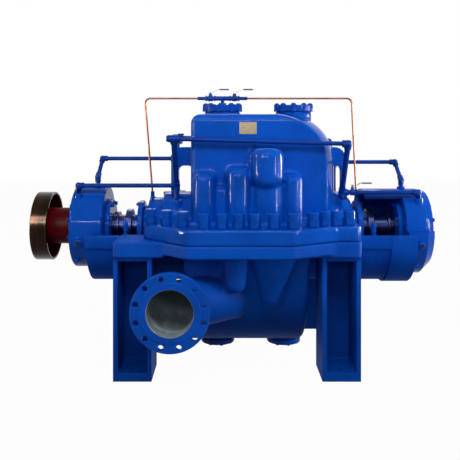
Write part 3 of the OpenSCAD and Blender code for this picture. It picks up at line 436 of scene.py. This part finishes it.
def dressed(node, edge_mm, finish, body="casing", sharp=38):
    """The node with its edges broken by edge_mm, as a piece that stands for it."""
    bm = node_copy(node)
    bmesh.ops.dissolve_limit(bm, angle_limit=FLAT, verts=bm.verts, edges=bm.edges)
    if edge_mm:
        corners = [edge for edge in bm.edges
                   if len(edge.link_faces) == 2 and edge.calc_face_angle() > radians(sharp)]
        bmesh.ops.bevel(bm, geom=corners, offset=edge_mm * MM, offset_type="OFFSET", segments=2,
                        profile=0.5, affect="EDGES", clamp_overlap=True, material=-1)
    mesh = bpy.data.meshes.new(node + "_finish")
    bm.to_mesh(mesh)
    bm.free()
    mesh.shade_smooth()
    mesh.set_sharp_from_angle(angle=radians(sharp))
    piece = keep_piece(node + "_finish", mesh, finish, body, [node])
    even = piece.modifiers.new("even", "WEIGHTED_NORMAL")
    even.keep_sharp = True
    return piece


BORE_SPARE = 4
for node, x, bore_r in (("suction_nozzle", -NOZZLE_X, 125), ("discharge_nozzle", NOZZLE_X, 100)):
    neck = dressed(node, 2, smooth_enamel)
    neck.data.materials.append(bore_primer_and_shade)
    axis = Vector((x * MM, NOZZLE_Z * MM))
    for face in neck.data.polygons:
        rims = [neck.data.vertices[i].co.xz - axis for i in face.vertices]
        if max(rim.length for rim in rims) < (bore_r + BORE_SPARE) * MM:
            face.material_index = 1

# Blind covers: turned steel discs over the core holes, on top of the crown and under the
# barrel, each held by studs with tall closed nuts round its rim.
TOP_Z = SHAFT_H + 738
BOTTOM_Z = SHAFT_H - 745
NUT_TURN = 0.35
TALL_NUT = ((20, 20, 20, 0, 30), (6, 19, 19, 29, 46), (20, 16, 11, 45, 54))
LOW_HEAD = ((20, 15, 15, -1, 2), (6, 12, 12, 1, 5), (6, 12, 9, 5, 7))
COVERS = (
    # node, x, height of the nuts' seat, way, ring radius, count, nut
    ("left_top_cover", -86, TOP_Z, (0, 0, 1), 111, 10, TALL_NUT),
    ("right_top_cover", 375, TOP_Z, (0, 0, 1), 111, 10, TALL_NUT),
    ("left_bottom_cover", -116, BOTTOM_Z, (0, 0, -1), 88, 8, LOW_HEAD),
    ("right_bottom_cover", 310, BOTTOM_Z, (0, 0, -1), 88, 8, LOW_HEAD),
)
for node, x, z, way, ring_r, count, nut in COVERS:
    dressed(node, 5, smooth_enamel)
    bm = bmesh.new()
    for i in range(count):
        angle = 2 * pi * (i + NUT_TURN) / count
        add_rounds(bm, (x + ring_r * cos(angle), ring_r * sin(angle), z), way, nut)
    keep_rounds(node + "_nuts", bm, smooth_enamel)

# Lifting lugs: thick steel arches between the crown and the end domes, welded to the crown
# along both sides.
BEAD_CUT = 14
RIPPLE_SHARE = 0.22
RIPPLE_MM = 4.5


def add_bead(bm, start, end, leg):
    """A fillet weld between two points, in mm, rippled as the welder weaves."""
    start, end = Vector(start), Vector(end)
    along = end - start
    turn = Vector((0, 0, 1)).rotation_difference(along).to_matrix().to_4x4()
    place = Matrix.Translation((start + end) / 2 * MM) @ turn
    made = bmesh.ops.create_cone(bm, cap_ends=True, segments=8, radius1=leg * MM, radius2=leg * MM,
                                 depth=along.length * MM, matrix=place)
    way = along.normalized()
    sides = {edge for vert in made["verts"] for edge in vert.link_edges
             if abs((edge.verts[1].co - edge.verts[0].co).normalized().dot(way)) > 0.9}
    cut = bmesh.ops.subdivide_edges(bm, edges=list(sides), cuts=int(along.length / BEAD_CUT))
    ripple = {part for part in cut["geom_inner"] if isinstance(part, bmesh.types.BMVert)}
    for vert in ripple:
        reach = (vert.co / MM - start).dot(way)
        axis = (start + way * reach) * MM
        vert.co = axis + (vert.co - axis) * (1 + RIPPLE_SHARE * sin(reach / RIPPLE_MM))


LUG_HALF_T = 35
LUG_BEAD = 8
LUG_WELD_Z = (SHAFT_H + 426, SHAFT_H + 500)
for node, low_x, high_x in (("left_lifting_lug", -275, -275), ("right_lifting_lug", 629, 619)):
    dressed(node, 8, cast_enamel)
    bm = bmesh.new()
    for y in (-LUG_HALF_T, LUG_HALF_T):
        add_bead(bm, (low_x, y, LUG_WELD_Z[0]), (high_x, y, LUG_WELD_Z[1]), LUG_BEAD)
    keep_rounds(node + "_welds", bm, cast_enamel)

# Rating plate: a thin sheet of brass, etched dull and left bare, held on the crown's front by
# four rivets. Tarnish speckles it, and fine brush lines, drawn wider than real, break its shine.
PLATE_FACE = -332
RIVET_X = (24, 116)
RIVET_Z = (SHAFT_H + 601, SHAFT_H + 663)
RIVET = ((12, 3.5, 3.5, -1, 1), (12, 3.5, 1.5, 1, 2.2))
SPECKLE_MM = 7
BRUSH_MM = (40, 40, 1.5)
brass = bpy.data.materials.new("etched_brass_plate")
tree = plain_tree(brass)
where = add_node(tree, "ShaderNodeTexCoord").outputs["Object"]
tarnish = add_node(tree, "ShaderNodeTexNoise",
                   {"Vector": where, "Scale": 1000 / SPECKLE_MM, "Detail": 6.0})
tone = add_node(tree, "ShaderNodeValToRGB", {"Fac": tarnish.outputs["Fac"]})
tone.color_ramp.elements[0].position = 0.35
tone.color_ramp.elements[0].color = linear("#5c5340")
tone.color_ramp.elements[1].position = 0.65
tone.color_ramp.elements[1].color = linear("#776c54")
brushed = add_node(tree, "ShaderNodeMapping",
                   {"Vector": where, "Scale": tuple(1000 / width for width in BRUSH_MM)})
lines = add_node(tree, "ShaderNodeTexNoise",
                 {"Vector": brushed.outputs["Vector"], "Scale": 1.0, "Detail": 2.0})
grain = add_node(tree, "ShaderNodeBump",
                 {"Height": lines.outputs["Fac"], "Strength": 0.2, "Distance": 0.0002})
coat = add_node(tree, "ShaderNodeBsdfPrincipled",
                {"Base Color": tone.outputs["Color"], "Metallic": 0.6, "Roughness": 0.45,
                 "Normal": grain.outputs["Normal"]})
add_node(tree, "ShaderNodeOutputMaterial", {"Surface": coat.outputs["BSDF"]})
dressed("rating_plate", 0.5, brass)
bm = bmesh.new()
for x in RIVET_X:
    for z in RIVET_Z:
        add_rounds(bm, (x, PLATE_FACE, z), (0, -1, 0), RIVET)
keep_rounds("rating_plate_rivets", bm, brass)

# Pedestals: open boxes of flame-cut plate on thick base plates, welded inside their corners
# and bolted under the casing's feet.
WALL_X = (500, 665)
BACK_Y = 370
OPEN_Y = 604
BASE_TOP = 48
WELD_TOP = 670
BEAD_LEG = 6
BEAD_GAP = 2
for side, sx in (("left", -1), ("right", 1)):
    for row, sy in (("front", -1), ("rear", 1)):
        node = row + "_" + side + "_pedestal"
        dressed(node, 3, low_enamel)
        bm = bmesh.new()
        for x in WALL_X:
            upright = [(sx * x, sy * BACK_Y, z) for z in (BASE_TOP, WELD_TOP)]
            along_base = [(sx * x, sy * y, BASE_TOP) for y in (BACK_Y + BEAD_GAP, OPEN_Y)]
            add_bead(bm, *upright, BEAD_LEG)
            add_bead(bm, *along_base, BEAD_LEG)
        ends = (WALL_X[0] + BEAD_GAP, WALL_X[1] - BEAD_GAP)
        across_back = [(sx * x, sy * BACK_Y, BASE_TOP) for x in ends]
        add_bead(bm, *across_back, BEAD_LEG)
        keep_rounds(node + "_welds", bm, low_enamel)

# Bearing brackets: half-round iron troughs bolted to the casing's ends, open on top so that
# the seals can be reached, and painted with the lower casing.
for node in ("left_bearing_bracket", "right_bearing_bracket"):
    dressed(node, 4, low_enamel)

# Grease cups: turned brass cups screwed into the brackets' front rims to feed the seals,
# painted over with the rest.
RIM_TOP = SHAFT_H - 15
RIM_Y = -330
TALL_CUP = ((6, 16, 16, -2, 14), (16, 8, 8, 13, 34), (16, 14.5, 14.5, 33, 74), (16, 14.5, 9, 74, 92),
            (12, 5, 3, 91, 104))
LOW_CUP = ((6, 16, 16, -2, 12), (16, 9, 9, 11, 24), (16, 15, 15, 23, 64), (16, 15, 9, 64, 78))
for side, x, cup in (("left", -664, TALL_CUP), ("right", 823, LOW_CUP)):
    bm = bmesh.new()
    add_rounds(bm, (x, RIM_Y, RIM_TOP), (0, 0, 1), cup)
    keep_rounds(side + "_grease_cup", bm, smooth_enamel)

# Bearing housings: split iron drums on the brackets, the thrust end's with a hood, each with
# an oil sight at the front and a drain plug below.
for node in ("left_bearing_housing", "right_bearing_housing", "left_bearing_cap", "right_bearing_cap"):
    dressed(node, 4, smooth_enamel)
# Sight glass: polished, and nearly black from the old oil behind it.
OIL_MM = 20
glass = bpy.data.materials.new("oil_sight_glass")
tree = plain_tree(glass)
where = add_node(tree, "ShaderNodeTexCoord").outputs["Object"]
oil = add_node(tree, "ShaderNodeTexNoise", {"Vector": where, "Scale": 1000 / OIL_MM, "Detail": 2.0})
tone = add_node(tree, "ShaderNodeValToRGB", {"Fac": oil.outputs["Fac"]})
tone.color_ramp.elements[0].color = linear("#06080f")
tone.color_ramp.elements[1].color = linear("#121a2c")
coat = add_node(tree, "ShaderNodeBsdfPrincipled",
                {"Base Color": tone.outputs["Color"], "Roughness": 0.05, "IOR": 1.5,
                 "Specular IOR Level": 0.2})
add_node(tree, "ShaderNodeOutputMaterial", {"Surface": coat.outputs["BSDF"]})
SIGHT_DROP = radians(14)
PLUG_DROP = radians(45)
SIGHT_RING = ((28, 21, 21, -12, 5), (28, 21, 17, 5, 9))
SIGHT_GLASS = ((28, 13, 13, 6, 9.5), (28, 13, 10, 9.5, 11))
DRAIN_PLUG = ((20, 20, 20, -3, 4), (6, 15, 15, 3, 16), (6, 15, 11, 16, 19))
HOUSINGS = (
    # side, x of the sight and of the plug, radius of the drum
    ("left", -966, -985, 260),
    ("right", 1118, 1112, 300),
)
for side, x, plug_x, drum_r in HOUSINGS:
    way = Vector((0, -cos(SIGHT_DROP), -sin(SIGHT_DROP)))
    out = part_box(side + "_bearing_housing")[0].y / MM
    seat = Vector((x, out, SHAFT_H + out * sin(SIGHT_DROP) / cos(SIGHT_DROP)))
    bm = bmesh.new()
    add_rounds(bm, seat, way, SIGHT_RING)
    keep_rounds(side + "_sight_ring", bm, smooth_enamel)
    bm = bmesh.new()
    add_rounds(bm, seat, way, SIGHT_GLASS)
    keep_rounds(side + "_sight_glass", bm, glass)
    way = Vector((0, -cos(PLUG_DROP), -sin(PLUG_DROP)))
    bm = bmesh.new()
    add_rounds(bm, Vector((plug_x, 0, SHAFT_H)) + way * drum_r, way, DRAIN_PLUG)
    keep_rounds(side + "_drain_plug", bm, smooth_enamel)

# Covers of the bearing housings and seal glands: turned discs round the shaft, drawn up by
# a ring of hexagon bolts.
BOLT = ((16, 15, 15, -1, 3), (6, 12.5, 12.5, 2, 15), (6, 12.5, 9, 15, 17))
STUD = ((16, 18, 18, -1, 3), (6, 14, 14, 2, 15), (12, 8, 8, 14, 21), (12, 8, 6, 21, 23))
DISCS = (
    # node, outer face along the shaft, way, ring radius, count, bolt
    ("left_inner_cover", -794, 1, 150, 8, BOLT),
    ("right_inner_cover", 1018, -1, 150, 8, BOLT),
    ("left_end_cover", -1048, -1, 141, 8, BOLT),
    ("right_end_cover", 1235, 1, 138, 8, BOLT),
    ("left_seal_gland", -622, -1, 138, 6, STUD),
    ("right_seal_gland", 800, 1, 138, 6, STUD),
)
for node, x, way, ring_r, count, bolt in DISCS:
    dressed(node, 4, smooth_enamel)
    bm = bmesh.new()
    for i in range(count):
        angle = 2 * pi * (i + 0.5) / count
        add_rounds(bm, (x, ring_r * cos(angle), SHAFT_H + ring_r * sin(angle)), (way, 0, 0), bolt)
    keep_rounds(node + "_bolts", bm, smooth_enamel)

# Shaft: turned alloy steel with collars that throw water off, blued by paint that drifted on it
# between the glands and the bearings.
ROUND_MM = 300
GLOSS_SPREAD = 0.1


def turned_metal(name, dark, light, band_mm, gloss, metallic):
    """Lathe-turned or drawn metal: rings across its length, tarnished in bands.

    The tool's rings are finer than a millimetre; they are drawn as wide as the bands, to show.
    """
    metal = bpy.data.materials.new(name)
    tree = plain_tree(metal)
    where = add_node(tree, "ShaderNodeTexCoord").outputs["Object"]
    rings = add_node(tree, "ShaderNodeMapping",
                     {"Vector": where, "Scale": (1000 / band_mm, 1000 / ROUND_MM, 1000 / ROUND_MM)})
    bands = add_node(tree, "ShaderNodeTexNoise",
                     {"Vector": rings.outputs["Vector"], "Scale": 1.0, "Detail": 4.0})
    tone = add_node(tree, "ShaderNodeValToRGB", {"Fac": bands.outputs["Fac"]})
    tone.color_ramp.elements[0].position = 0.3
    tone.color_ramp.elements[0].color = linear(dark)
    tone.color_ramp.elements[1].position = 0.75
    tone.color_ramp.elements[1].color = linear(light)
    haze = add_node(tree, "ShaderNodeMapRange",
                    {"Value": bands.outputs["Fac"], "To Min": gloss, "To Max": gloss + GLOSS_SPREAD})
    groove = add_node(tree, "ShaderNodeBump",
                      {"Height": bands.outputs["Fac"], "Strength": 0.3, "Distance": 0.0004})
    coat = add_node(tree, "ShaderNodeBsdfPrincipled",
                    {"Base Color": tone.outputs["Color"], "Metallic": metallic,
                     "Roughness": haze.outputs["Result"], "Normal": groove.outputs["Normal"]})
    add_node(tree, "ShaderNodeOutputMaterial", {"Surface": coat.outputs["BSDF"]})
    return metal


shaft_steel = turned_metal("turned_shaft_steel", "#070f3a", "#142663", 6, 0.22, 0.6)
dressed("shaft", 2, shaft_steel, "rotor")

# Drive coupling: a steel hub in red oxide primer, matt and misty, with a rim shrunk on it that
# is drilled for the driver's pins. The rim is bare, dark with oil, and shines like bronze.
RIM_INNER_R = 208
RED_PATCH_MM = 55
MIST_MM = 5
rim_steel = turned_metal("oiled_rim_steel", "#110906", "#2a1807", 40, 0.14, 0.9)
rim = dressed("coupling_rim", 3, rim_steel, "rotor")
red = bpy.data.materials.new("red_oxide_primer")
tree = plain_tree(red)
where = add_node(tree, "ShaderNodeTexCoord").outputs["Object"]
patch = add_node(tree, "ShaderNodeTexNoise",
                 {"Vector": where, "Scale": 1000 / RED_PATCH_MM, "Detail": 5.0})
tone = add_node(tree, "ShaderNodeValToRGB", {"Fac": patch.outputs["Fac"]})
tone.color_ramp.elements[0].position = 0.3
tone.color_ramp.elements[0].color = linear("#3a0409")
tone.color_ramp.elements[1].position = 0.7
tone.color_ramp.elements[1].color = linear("#5e060d")
mist = add_node(tree, "ShaderNodeTexNoise", {"Vector": where, "Scale": 1000 / MIST_MM, "Detail": 2.0})
rough = add_node(tree, "ShaderNodeBump",
                 {"Height": mist.outputs["Fac"], "Strength": 0.3, "Distance": 0.0008})
coat = add_node(tree, "ShaderNodeBsdfPrincipled",
                {"Base Color": tone.outputs["Color"], "Roughness": 0.42, "IOR": 1.5,
                 "Specular IOR Level": 0.03, "Normal": rough.outputs["Normal"]})
add_node(tree, "ShaderNodeOutputMaterial", {"Surface": coat.outputs["BSDF"]})
dressed("coupling_hub", 3, red, "rotor")
rim.data.materials.append(red)
for face in rim.data.polygons:
    corners = [rim.data.vertices[i].co.yz - Vector((0, SHAFT_H * MM)) for i in face.vertices]
    if max(corner.length for corner in corners) < RIM_INNER_R * MM:
        face.material_index = 1

# Cooling pipework: screwed steel pipe with elbows, tees and a ball valve, from risers on the
# casing to the bearing caps and back, painted over by brush, so darker and less even.
pipe_enamel = enamel("pipe_enamel", "#04307e", "#063c98", 90, 0.0015, 0.22, 0.05)
for node in ("front_manifold", "rear_manifold", "left_supply_pipe", "right_supply_pipe",
             "left_return_pipe", "right_return_pipe", "cooling_valve"):
    dressed(node, 0, pipe_enamel)

# Air cock: a small petcock with a cross bar, screwed through the front manifold beside its
# riser to let air out.
COCK_AT = Vector((-328, -372, SHAFT_H + 567))
COCK_BODY = ((16, 11, 11, -16, 18), (6, 14, 14, 14, 22), (12, 5, 5, 21, 31))
COCK_SPOUT = ((6, 13, 13, 14, 22), (12, 7, 6, 21, 30))
BAR_AT = COCK_AT + Vector((-18, 0, 28))
CROSS_BAR = ((12, 4.5, 4.5, 0, 36),)
bm = bmesh.new()
add_rounds(bm, COCK_AT, (0, 0, 1), COCK_BODY)
add_rounds(bm, COCK_AT, (0, 0, -1), COCK_SPOUT)
add_rounds(bm, BAR_AT, (1, 0, 0), CROSS_BAR)
keep_rounds("front_air_cock", bm, pipe_enamel)

# Flush line: a tee and two ball valves on the left cover, and tubes bent by hand down to the
# seals: drawn copper, warm and browned by the air, with painted nuts at both ends.
for node in ("flush_tee", "left_flush_valve", "right_flush_valve"):
    dressed(node, 0, pipe_enamel)
copper = turned_metal("drawn_copper_tube", "#4a2a1f", "#7d4c3a", 150, 0.3, 1.0)
FERRULE = 51
FOOT_NUT = 26
for node in ("left_flush_tube", "right_flush_tube"):
    low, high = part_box(node)
    tube = dressed(node, 0, copper)
    tube.data.materials.append(pipe_enamel)
    for face in tube.data.polygons:
        from_valve = high.x - face.center.x if node.startswith("left") else face.center.x - low.x
        if from_valve < FERRULE * MM or face.center.z - low.z < FOOT_NUT * MM:
            face.material_index = 1

# Valve levers: cranked strips of steel on the valve stems, plated with dull grey zinc, each with
# a grip over its outer half, dipped in dark vinyl that is soft, hardly shines and is scuffed.
SCUFF_MM = 14
plated = turned_metal("zinc_plated_lever", "#4c4c4a", "#868682", 8, 0.3, 1.0)
vinyl = bpy.data.materials.new("dipped_vinyl_grip")
tree = plain_tree(vinyl)
where = add_node(tree, "ShaderNodeTexCoord").outputs["Object"]
scuff = add_node(tree, "ShaderNodeTexNoise", {"Vector": where, "Scale": 1000 / SCUFF_MM, "Detail": 4.0})
tone = add_node(tree, "ShaderNodeValToRGB", {"Fac": scuff.outputs["Fac"]})
tone.color_ramp.elements[0].color = linear("#1e1f22")
tone.color_ramp.elements[1].color = linear("#43454a")
coat = add_node(tree, "ShaderNodeBsdfPrincipled",
                {"Base Color": tone.outputs["Color"], "Roughness": 0.5, "IOR": 1.5})
add_node(tree, "ShaderNodeOutputMaterial", {"Surface": coat.outputs["BSDF"]})
GRIP = Vector((64, 22, 9))
GRIP_ROUND = 4
GRIP_PAST = 3
STRIP_T = 4
LEVERS = (("left_flush_lever", "left_flush_handle"), ("right_flush_lever", "right_flush_handle"),
          ("cooling_lever", "cooling_handle"))
for node, body in LEVERS:
    dressed(node, 1, plated, body)
    low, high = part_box(node)
    middle = Vector((high.x - (GRIP.x / 2 - GRIP_PAST) * MM, (low.y + high.y) / 2,
                     high.z - STRIP_T / 2 * MM))
    place = Matrix.Translation(middle) @ Matrix.Diagonal((*(GRIP * MM), 1))
    bm = bmesh.new()
    bmesh.ops.create_cube(bm, size=1, matrix=place)
    bmesh.ops.bevel(bm, geom=bm.edges[:], offset=GRIP_ROUND * MM, offset_type="OFFSET", segments=3,
                    profile=0.5, affect="EDGES", clamp_overlap=True, material=-1)
    keep_rounds(node.replace("lever", "grip"), bm, vinyl, body)
